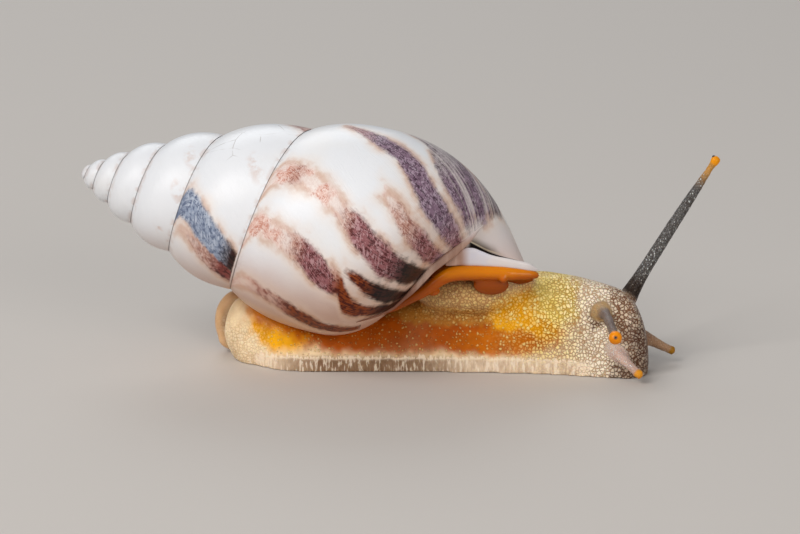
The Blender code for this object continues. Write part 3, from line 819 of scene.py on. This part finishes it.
# Degrees of turning about each axis, in this order.
MANTLE_LEAN = {"Z": -6, "Y": 2, "X": -38}
MANTLE_FINENESS = 0.13 * MM
ROLL_WAY = (
    (-2.4, -6.3, 7.2), (-0.5, -6.2, 7.95), (1, -6.1, 8.75), (2.64, -5.75, 9.6), (4.23, -5.45, 10.75),
    (5.6, -5.2, 11.3), (8.46, -5, 11.38), (11.3, -5, 11.3), (13.8, -4.65, 11.08),
    (14.7, -4.25, 10.85),
)
ROLL_RADII = (0.3, 0.42, 0.5, 0.62, 0.72, 0.82, 0.8, 0.76, 0.52, 0.25)
# Flattened balls: middle and half sizes in millimetres.
MANTLE_BULGES = (
    ((9.65, -4.7, 9.95), (1.9, 0.6, 1.1)),
    ((10.9, -5.6, 10.85), (0.4, 0.38, 0.5)),
    ((3.5, -5.2, 9.45), (0.75, 0.6, 0.55)),
    ((8.5, -3.9, 11.2), (4.5, 1.3, 1)),
)
EDGE_SPAN = (0.1, 1.75)
EDGE_RADIUS = 0.8
EDGE_POINTS = 12
EDGE_BACK = 0.015
EDGE_INSIDE = 1 * MM
# Painted shade below and a painted highlight on top, and painted shade on the lobe.
LOW_SHADED_ORANGE = (0.44, 0.085, 0)
TOP_LIT_ORANGE = (0.68, 0.2, 0)
LOBE_SHADE_BROWN = (0.27, 0.05, 0)


def add_ball(mesh, middle, halves, turn=Matrix.Identity(4), segments=40):
    """A flattened ball, sizes in metres."""
    place = Matrix.Translation(middle) @ turn @ Matrix.Diagonal((*halves, 1))
    bmesh.ops.create_uvsphere(mesh, u_segments=segments, v_segments=segments // 2, radius=1, matrix=place)


def add_bulges(mesh, bulges):
    """Flattened balls, each a middle and half sizes in millimetres."""
    for middle, halves in bulges:
        add_ball(mesh, set_down(middle), Vector(halves) * MM)


def add_stalk(mesh, way, radii, sides=24, rings=80):
    """A round, tapering stalk along a way in millimetres."""
    last = len(way) - 1

    def place(column, row):
        at = last * column / rings
        ahead = ahead_on(way, at)
        sideways = ahead.orthogonal().normalized() if abs(ahead.y) > 0.9 else ahead.cross(Vector((0, 1, 0)))
        sideways.normalize()
        radius = catmull([(size, 0) for size in radii], at * (len(radii) - 1) / last)[0]
        radius = radius if 0 < column < rings else 0
        angle = 2 * math.pi * row / sides
        spread = (sideways.cross(ahead) * math.cos(angle) + sideways * math.sin(angle)) * radius
        return set_down(catmull(way, at) + spread)

    add_sheet(mesh, rings, sides, place)


def merged_skin(piece, fineness, smoothing, levels):
    """Melts overlapping closed forms into one even skin, smoothed where they meet."""
    melt = piece.modifiers.new("melt", "REMESH")
    melt.mode = "VOXEL"
    melt.voxel_size = fineness
    soften = piece.modifiers.new("soften", "SMOOTH")
    soften.factor = 0.5
    soften.iterations = smoothing
    if levels:
        refine = piece.modifiers.new("refine", "SUBSURF")
        refine.levels = levels
        refine.render_levels = levels
    made_plain(piece)


def places_on(data):
    """The points of a mesh in the tables' millimetres."""
    return (read(data.vertices, "co", 3) + np.array(BASE_MIDDLE)) / MM


def mantle_material():
    """Wet, clear orange flesh, painted yellower above as a highlight and darker below, and brown on the lobe
    and the sides, as painted shade.
    """
    finish = {"Roughness": 0.4, "Coat_Weight": 0.4, "Coat_Roughness": 0.05, "Specular_IOR_Level": 0.08}
    under = {"Subsurface_Weight": 0.2, "Subsurface_Radius": (1, 0.35, 0.05), "Subsurface_Scale": 0.6 * MM}
    material, tree, shader = new_material("mantle_flesh", **finish, **under)
    place = object_place(tree)
    height = parts_of(place)[2] + (noise(place, 420, 3) - 0.5) * 0.6 * MM
    orange = mixed(eased(height, 10.6 * MM, 11.7 * MM), LOW_SHADED_ORANGE, TOP_LIT_ORANGE)
    feed_all(shader, Base_Color=mixed(attribute(tree, "lobe"), orange, LOBE_SHADE_BROWN))
    bumped(shader, (noise(place, (300, 900, 1500)), 0.05 * MM))
    return material


mantle_mesh = bmesh.new()
lean = Matrix.Identity(4)
for axis, degrees in MANTLE_LEAN.items():
    lean = lean @ Matrix.Rotation(math.radians(degrees), 4, axis)
add_ball(mantle_mesh, MANTLE_MIDDLE, MANTLE_HALF, lean)
add_stalk(mantle_mesh, ROLL_WAY, ROLL_RADII)
add_bulges(mantle_mesh, MANTLE_BULGES)
edge_way = []
for number in range(EDGE_POINTS):
    across = EDGE_SPAN[0] + (EDGE_SPAN[1] - EDGE_SPAN[0]) * number / (EDGE_POINTS - 1)
    edge_way.append((on_shell(LIP_TURN - EDGE_BACK, across, -EDGE_INSIDE) + BASE_MIDDLE) / MM)
add_stalk(mantle_mesh, edge_way, [EDGE_RADIUS] * EDGE_POINTS)
close_up(mantle_mesh)
mantle = new_object("mantle", mantle_mesh)
merged_skin(mantle, MANTLE_FINENESS, 5, 0)
x, y, z = places_on(mantle.data).T
# Painted shade: brown on the lower side with the lobe, on the left end and on the far side.
lobe = eased(10.75 + 0.04 * (x - 9) - z, 0, 0.5) * eased(x, 5.6, 7)
lobe = larger(larger(lobe, eased(x, 4.5, 0.5)), eased(y, -3.8, -2.5)) * 0.9
keep(mantle.data, "POINT", lobe=lobe)
mantle.data.materials.append(mantle_material())
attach(mantle, "root")
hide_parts("mantle_collar")

# ---------- the skin
# One wet skin over tail, foot, neck, head and feelers: a net of raised granules, a pleated fringe along
# the sole, smooth clear bulbs on the feelers' ends. It is yellow-orange, and grey-brown on the head.

COAT = 0.12
SKIN_FINENESS = 0.29 * MM
BODY_STATIONS = (
    (-19.4, 2, 2.3, 6.6), (-16.5, 2.35, 3.4, 6.9), (-12, 1.3, 4.5, 6.1), (-5, 1, 4.6, 5.4),
    (3, 1, 4.6, 7.4), (10, 0.7, 4.6, 9.8), (16, -0.1, 4.4, 10.1), (20.5, -1.1, 4.3, 9.55),
    (24, -2.2, 3.9, 8.6), (26.8, -3.1, 3.4, 6.9),
)
BODY_COLUMNS = 130
BODY_ROWS = 60
SECTION_BEND = (0.75, 0.8)
TAIL_ROUNDING = 2.6
HEAD_ROUNDING = 3.2
FRINGE_HEIGHT = 1.3
FRINGE_REACH = 0.08
# Forms that swell out of the body: middle and half sizes in millimetres.
BODY_BULGES = (
    ((-17.5, 4.3, 3.5), (2.75, 1.9, 3.5)),
    ((-17.2, 4.3, 1.5), (2.7, 2, 1.5)),
    ((7.5, -1, 8.2), (6, 3.7, 2.35)),
    ((21.6, -4.3, 6.95), (1.2, 1, 1)),
    ((24.6, 0.1, 7.2), (1, 1, 1)),
    ((22.7, -4.9, 3.2), (1, 0.8, 0.75)),
)
# Each feeler: its way, radii and tip's radius in millimetres, and its parts' colours.
FEELERS = (
    SimpleNamespace(
        way=((24.3, 0.1, 6.9), (26.6, 1.4, 10.4), (30.1, 3.1, 15.6), (34, 4.8, 21.25)),
        radii=(0.98, 0.68, 0.6, 0.5, 0.26), tip=0.45,
        root=(0.022, 0.011, 0.006), stalk=(0.075, 0.067, 0.063), grain=(0.62, 0.62, 0.6),
        neck=(0.66, 0.33, 0.07), bulb=(1, 0.38, 0.004),
    ),
    SimpleNamespace(
        way=((21.1, -3.9, 7), (21.75, -6.4, 7.1), (22.05, -9.2, 6.85), (22.4, -12.2, 6.3)),
        radii=(0.98, 0.5, 0.44, 0.38), tip=0.63,
        root=(0.55, 0.36, 0.17), stalk=(0.205, 0.155, 0.135), grain=(0.29, 0.235, 0.21),
        neck=(0.3, 0.24, 0.2), bulb=(0.92, 0.29, 0.002),
    ),
    SimpleNamespace(
        way=((25.2, -2.2, 3.9), (26.9, -0.9, 2.8), (28.2, -0.4, 2), (29.3, -0.1, 1.4)),
        radii=(0.83, 0.58, 0.44, 0.36), tip=0.39,
        root=(0.34, 0.19, 0.11), stalk=(0.44, 0.26, 0.15), grain=(0.66, 0.46, 0.32),
        neck=(0.44, 0.24, 0.1), bulb=(0.33, 0.145, 0.006),
    ),
    SimpleNamespace(
        way=((22.3, -4.2, 3.4), (23.1, -5.8, 2.7), (24.3, -7.2, 1.8), (25.2, -8.1, 1.1)),
        radii=(0.83, 0.58, 0.44, 0.37), tip=0.4,
        root=(0.72, 0.6, 0.5), stalk=(0.66, 0.46, 0.38), grain=(0.97, 0.9, 0.84),
        neck=(0.62, 0.36, 0.26), bulb=(0.8, 0.32, 0.02),
    ),
)
# What the melting takes off a thin stalk and a tip is added back.
STALK_SPARE = 0.09
TIP_SPARE = 0.15


def body_section(x):
    """Middle, half the breadth and height of the body at x, in millimetres."""
    xs = [station[0] for station in BODY_STATIONS]
    low, high = 0, len(xs) - 1
    for _ in range(24):
        at = (low + high) / 2
        if catmull(BODY_STATIONS, at)[0] < x:
            low = at
        else:
            high = at
    _, y, half, height = catmull(BODY_STATIONS, low)
    from_tail = min(1, max(0, 1 - (x - xs[0]) / TAIL_ROUNDING))
    from_head = min(1, max(0, 1 - (xs[-1] - x) / HEAD_ROUNDING))
    plan = (1 - from_tail**2.3) ** 0.5 * (1 - from_head**2.3) ** 0.45
    side = (1 - from_tail**2.6) ** 0.4 * (1 - from_head**3) ** 0.45
    return y, half * plan, height * side


def body_point(column, row):
    """A point of the plain body: a rounded arch on a flat sole, spread a little at the fringe."""
    first, last = BODY_STATIONS[0][0], BODY_STATIONS[-1][0]
    share = (1 - math.cos(math.pi * column / BODY_COLUMNS)) / 2
    x = first + (last - first) * (0.7 * share + 0.3 * column / BODY_COLUMNS)
    y, half, height = body_section(x) if 0 < column < BODY_COLUMNS else (body_section(x)[0], 0, 0)
    x -= COAT * (x - (first + last) / 2) / ((last - first) / 2)
    angle = math.pi * row / BODY_ROWS
    sideways, up = math.cos(angle), max(0, math.sin(angle))
    from_tail = min(1, max(0, 1 - (x - first) / 6))
    z = max(0, height - COAT) * up ** (SECTION_BEND[1] + 0.1 * from_tail) if 0 < row < BODY_ROWS else 0
    out = -math.copysign(abs(sideways) ** (SECTION_BEND[0] + 0.25 * from_tail), sideways)
    out *= (half - COAT * min(1, half)) * (1 + FRINGE_REACH * math.exp(-((z / FRINGE_HEIGHT) ** 2)))
    x += 1.3 * from_tail * max(0, 1 - z / 3.2) ** 2
    return set_down((x, y + out, z))


skin_mesh = bmesh.new()
add_sheet(skin_mesh, BODY_COLUMNS, BODY_ROWS, body_point)
add_sheet(skin_mesh, BODY_COLUMNS, 1, lambda column, row: body_point(column, row * BODY_ROWS))
add_bulges(skin_mesh, BODY_BULGES)
for feeler in FEELERS:
    add_stalk(skin_mesh, feeler.way, [radius + STALK_SPARE for radius in feeler.radii])
    tip_halves = ((feeler.tip + TIP_SPARE) * MM,) * 3
    add_ball(skin_mesh, set_down(feeler.way[-1]), tip_halves, segments=32)
close_up(skin_mesh)
skin = new_object("skin", skin_mesh)
merged_skin(skin, SKIN_FINENESS, 2, 1)
for vert in skin.data.vertices:
    vert.co.z = max(vert.co.z, 0.02 * MM)

SKIN_COLOURS = dict(
    cream=(1, 0.77, 0.47), peach=(0.75, 0.46, 0.235), sand=(1, 0.85, 0.64), gold=(1, 0.46, 0),
    honey=(1, 0.78, 0.15), orange=(0.48, 0.092, 0), amber=(0.62, 0.155, 0),
    rust=(0.44, 0.085, 0), ochre=(0.6, 0.25, 0.03), sienna=(0.26, 0.05, 0), shade=(0.6, 0.31, 0.1),
    olive=(0.4, 0.27, 0.13), fringe=(0.8, 0.62, 0.44), shade_brown=(0.26, 0.145, 0.075),
    taupe=(0.37, 0.215, 0.13), bark=(0.19, 0.095, 0.058),
)
# Where they lie in side view: colour, x, z, half length and height in millimetres, strength.
SKIN_ZONES = (
    ("gold", -12.6, 4.6, 4.4, 3, 1),
    # Painted shade: amber on the tail just under the shell.
    ("amber", -11.6, 6, 5.5, 2.4, 0.9),
    ("orange", -5, 4.4, 7.5, 2.9, 1),
    ("rust", 0.5, 4.2, 6.5, 2.8, 0.9),
    ("orange", 7.5, 4.2, 6.5, 2.6, 1),
    ("shade", 7, 8.4, 5.6, 2.4, 0.9),
    # Painted shade: dark sienna on the foot under the shell.
    ("sienna", -2, 6.8, 6, 1.7, 0.85),
    ("ochre", 5, 6.1, 7.5, 1.3, 0.85),
    ("gold", 13.6, 5.8, 4.8, 3.8, 1),
    ("amber", 11, 3.3, 6, 1.7, 0.9),
    ("honey", 16.8, 8.2, 3.2, 3.2, 0.8),
    ("sand", 21.8, 5.5, 3.3, 9, 1),
    ("taupe", 25.6, 6.6, 3.8, 7, 1),
    ("bark", 27.4, 4.6, 3.2, 6, 1),
    ("bark", 24.6, 0.5, 3.2, 2.4, 0.9),
    ("olive", 21.6, 6.8, 1.3, 1.4, 1),
    # Painted shadow of the feeler's socket on the mound's lower left side.
    ("bark", 20.8, 5.9, 0.9, 0.9, 0.9),
)
# Pale granule tops, partly their own colour and partly painted glints.
GRAIN_PALE_AND_GLINT = (1, 0.78, 0.3)
HEAD_GRAIN = (1, 0.87, 0.68)
FRINGE_PALE = (1, 0.86, 0.68)
TOOTH_PALE = (0.94, 0.76, 0.56)
FURROW_TINT = (0.36, 0.22, 0.13)
FRINGE_TOP = 1.6
MOUND = (21.6, -4.5, 6.95)


def near_way(places, way):
    """How far each place is from a way, and how far along it, from 0 to 1."""
    dense = np.array([catmull(way, (len(way) - 1) * k / 60) for k in range(61)])
    gaps = np.linalg.norm(places[:, None, :] - dense[None, :, :], axis=2)
    return gaps.min(axis=1), gaps.argmin(axis=1) / 60


def airbrush(paint, colour, strength):
    """Lays a colour, or a named one of the skin, over the paint."""
    paint += (SKIN_COLOURS.get(colour, colour) - paint) * strength[:, None]


def paint_skin(data):
    """Stores colours of ground and granules, the granules' paleness partly painted glints, and how packed,
    raised and fine the granules are.
    """
    places = places_on(data)
    x, y, z = places.T
    sway = 0.35 * np.sin(1.9 * x + 1.1 * z) + 0.25 * np.sin(3.7 * x - 2.3 * z)
    sway = sway + 0.15 * np.sin(7.1 * x + 4.3 * z)
    ground = np.tile(SKIN_COLOURS["cream"], (len(places), 1))
    tail_end = eased(x, -15, -16.5)
    far_lobe = eased(y, 2.5, 3.2) * tail_end
    crease = np.exp(-(((y - 2.75) / 0.28) ** 2)) * tail_end
    airbrush(ground, "peach", far_lobe)
    # Painted shade in the crease between the two tail lobes.
    airbrush(ground, "shade_brown", crease * 0.7)
    for name, middle_x, middle_z, half_x, half_z, strength in SKIN_ZONES:
        reach = np.hypot((x + sway - middle_x) / half_x, (z + sway * 0.3 - middle_z) / half_z)
        airbrush(ground, name, strength * eased(reach, 1.08, 0.6))
    fringe = eased(z + sway * 0.15, FRINGE_TOP + 0.4, FRINGE_TOP - 0.5)
    fringe = fringe * eased(x, 21.5, 18) * eased(x, -18, -12)
    airbrush(ground, "fringe", fringe)
    # Painted shade from the shell over the fringe's middle.
    airbrush(ground, "shade_brown", fringe * eased(x, -16, -8) * eased(x, 9, 0) * 0.95)
    on_tail = eased(x, -12.5, -16.5)
    under_shell = eased(z, 4.8, 6.4) * eased(x, -1, 4) * 0.55
    packed = larger(larger(eased(x, 8, 19), on_tail * 0.6), under_shell)
    # How pale the granules' tops are: partly their own colour, partly painted glints.
    grain_paleness_and_glint = 0.4 + 0.34 * eased(x, 4, 14) - 0.42 * eased(x, 19.5, 25.5) + 0.2 * on_tail
    grain_paleness_and_glint = grain_paleness_and_glint + 0.15 * eased(x, 8, 12) * eased(x, 20, 17) + 0.3 * under_shell
    white = np.tile(GRAIN_PALE_AND_GLINT, (len(places), 1))
    airbrush(white, HEAD_GRAIN, larger(eased(x, 16, 21), on_tail))
    grain = ground + (white - ground) * grain_paleness_and_glint[:, None]
    mound = eased(np.linalg.norm(places - MOUND, axis=1), 1.4, 0.6)
    contrast = (1 - 0.75 * fringe) * (1 - 0.9 * mound) * (1 - 0.3 * on_tail) * (1 - 0.8 * far_lobe)
    contrast = contrast * (1 - 0.85 * eased(z, 3.2, 5.2) * eased(x, 1, -5))
    fine = np.zeros(len(places))
    for feeler in FEELERS:
        gap, along = near_way(places, feeler.way)
        radius = np.interp(along, np.linspace(0, 1, len(feeler.radii)), feeler.radii)
        on_stalk = eased(gap, radius + 0.45, radius + 0.15) * eased(along, 0.02, 0.09)
        airbrush(ground, feeler.stalk, on_stalk)
        airbrush(ground, feeler.root, on_stalk * eased(along, 0.35, 0.15))
        airbrush(ground, feeler.neck, on_stalk * eased(along, 0.82, 0.97))
        airbrush(grain, feeler.grain, on_stalk * eased(along, 0.06, 0.3))
        airbrush(grain, feeler.root, on_stalk * eased(along, 0.3, 0.06))
        airbrush(grain, feeler.neck, on_stalk * eased(along, 0.86, 0.97))
        fine = larger(fine, on_stalk)
        packed = packed * (1 - 0.8 * on_stalk)
        end = np.linalg.norm(places - feeler.way[-1], axis=1)
        on_tip = eased(end, feeler.tip * 1.5, feeler.tip * 1.15)
        airbrush(ground, feeler.bulb, on_tip)
        airbrush(grain, feeler.bulb, on_tip)
        contrast = contrast * (1 - on_tip)
    for name in ("eye_left", "eye_right"):
        eye_middle = (np.mean(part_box(name), axis=0) + np.array(BASE_MIDDLE)) / MM
        airbrush(ground, "bark", eased(np.linalg.norm(places - eye_middle, axis=1), 0.3, 0.16))
    keep(data, "POINT", contrast=contrast, packed=packed, fringe=fringe, fine=fine, crease=crease,
         ground=ground, grain_colour=grain)


PLEAT_SIZES = dict(
    pleat_size=0.75 * MM, pleat_height=0.09 * MM, fold_size=2.4 * MM, fold_height=0.1 * MM,
    crease_depth=0.35 * MM,
)
GRAIN_SIZE = 0.36 * MM
FINE_GRAIN_SIZE = 0.18 * MM


def pleat_tree(material):
    """Raises the fringe's pleats and the skin's soft folds."""
    tree, size = new_tree("pleated_skin", PLEAT_SIZES)
    place = node_field(tree, "GeometryNodeInputPosition")
    pleats = noise(scaled(place, (1, 1, 0.15)), 1 / size.pleat_size, 1)
    folds = noise(scaled(place, (1, 1, 0.6)), 1 / size.fold_size, 1)
    lift = (pleats - 0.6) * 2 * size.pleat_height * stored(tree, "fringe")
    lift = lift + (folds - 0.55) * 2 * size.fold_height * (1 - stored(tree, "fine"))
    lift = lift - stored(tree, "crease") * size.crease_depth
    lift = lift * eased(parts_of(place)[2], 0, 0.6 * MM)
    out = node_field(tree, "GeometryNodeInputNormal")
    offset = node_field(tree, "ShaderNodeVectorMath", {"operation": "SCALE"}, Vector=out, Scale=lift)
    pleated = node_field(tree, "GeometryNodeSetPosition", Geometry=size.Geometry, Offset=offset)
    return ended(pleated, material)


def grain_cells(place, size):
    """How far the nearest granule's middle and edge are, in its sizes, and its chance."""
    net = {"Vector": place, "Scale": 1 / size, "Randomness": 0.85}
    middle = add_node(place.tree, "ShaderNodeTexVoronoi", **net)
    edges = {"feature": "DISTANCE_TO_EDGE"}
    edge = node_field(place.tree, "ShaderNodeTexVoronoi", edges, "Distance", **net)
    draw = Field(place.tree, middle.outputs["Color"])
    chance = node_field(place.tree, "ShaderNodeSeparateColor", Color=draw)
    return Field(place.tree, middle.outputs["Distance"]), edge, chance


def skin_material():
    """Wet granular flesh: pale granules on a clear ground, tightly packed on the head. Their pale tops are
    partly their own colour and partly painted glints.
    """
    finish = {"Coat_Weight": 0.08, "Coat_Roughness": 0.1, "Specular_IOR_Level": 0.12}
    under = {"Subsurface_Weight": 0.1, "Subsurface_Radius": (1, 0.5, 0.2), "Subsurface_Scale": 0.3 * MM}
    material, tree, shader = new_material("snail_skin", **finish, **under)
    names = ("packed", "fine", "contrast", "fringe")
    packed, fine, contrast, fringe = (attribute(tree, name) for name in names)
    ground = attribute(tree, "ground", "Color")
    place = object_place(tree)
    x, y, z = parts_of(place)
    wobble = (noise(place, 2400) - 0.5) * 0.5 * GRAIN_SIZE
    other_wobble = (noise(scaled(place, (1, 1, -1)), 2400) - 0.5) * 0.5 * GRAIN_SIZE
    wobbled = combined(x + wobble, y, z + other_wobble)
    broad = grain_cells(wobbled, GRAIN_SIZE)
    small = grain_cells(scaled(wobbled, (1, 1, 0.6)), FINE_GRAIN_SIZE)
    distance, edge, chance = (one + (other - one) * fine for one, other in zip(broad, small))
    uneven = (noise(place, 5200) - 0.5) * 0.9
    loose = eased(distance - (chance - 0.6) * 0.3 + uneven, 0.34, 0.14)
    tight = eased(edge + (chance - 0.6) * 0.14, 0.04, 0.17)
    top = loose + (tight - loose) * packed
    furrow = eased(edge + (chance - 0.6) * 0.12, 0.13, 0) * packed
    cloud = noise(place, 600, 3)
    pleats = noise(place, (3800, 3800, 620), 3)
    dark = mixed(1, ground, FURROW_TINT, "MULTIPLY")
    teeth = eased(fringe + (pleats - 0.5) * 2.2, 0.3, 0.5) * eased(fringe, 0.95, 0.55)
    coloured = layered(
        ground,
        (eased(cloud, 0.35, 0.7) * 0.3, dark),
        (furrow * contrast * 0.8, dark),
        (top * contrast * (0.45 + 0.55 * chance), attribute(tree, "grain_colour", "Color")),
        (fringe * eased(pleats, 0.5, 0.64) * 0.6, FRINGE_PALE),
        (fringe * eased(pleats, 0.46, 0.34) * 0.22, dark),
        (teeth * eased(fringe, 0, 0.05) * 0.8, TOOTH_PALE),
    )
    feed_all(shader, Base_Color=coloured, Roughness=0.48 - 0.26 * top)
    bumped(shader, (top * contrast, 0.1 * MM), (pleats * fringe, 0.12 * MM))
    return material


paint_skin(skin.data)
grow(pleat_tree(skin_material()), PLEAT_SIZES, skin)
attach(skin, "root")
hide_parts("foot", "head", "neck", "tail", "upper_tentacle_left", "upper_tentacle_right",
            "lower_tentacle_left", "lower_tentacle_right", "upper_tentacle_left_tip",
            "upper_tentacle_right_tip", "lower_tentacle_left_tip", "lower_tentacle_right_tip")

# ---------- the eyes
# A black dot at the very end of each long feeler, set in its clear bulb. The beads stay as the solid
# part has them and only get a wet, near-black finish.

EYE_BLACK = (0.006, 0.004, 0.004)
EYE_BROWN = (0.03, 0.018, 0.012)

eye_finish = {"Roughness": 0.1, "Coat_Weight": 1, "Coat_Roughness": 0.03}
eye_material, eye_tree, eye_shader = new_material("eye_black", **eye_finish)
feed_all(eye_shader, Base_Color=mixed(noise(object_place(eye_tree), 4000), EYE_BLACK, EYE_BROWN))
for side in ("left", "right"):
    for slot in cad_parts["eye_" + side].material_slots:
        slot.material = eye_material
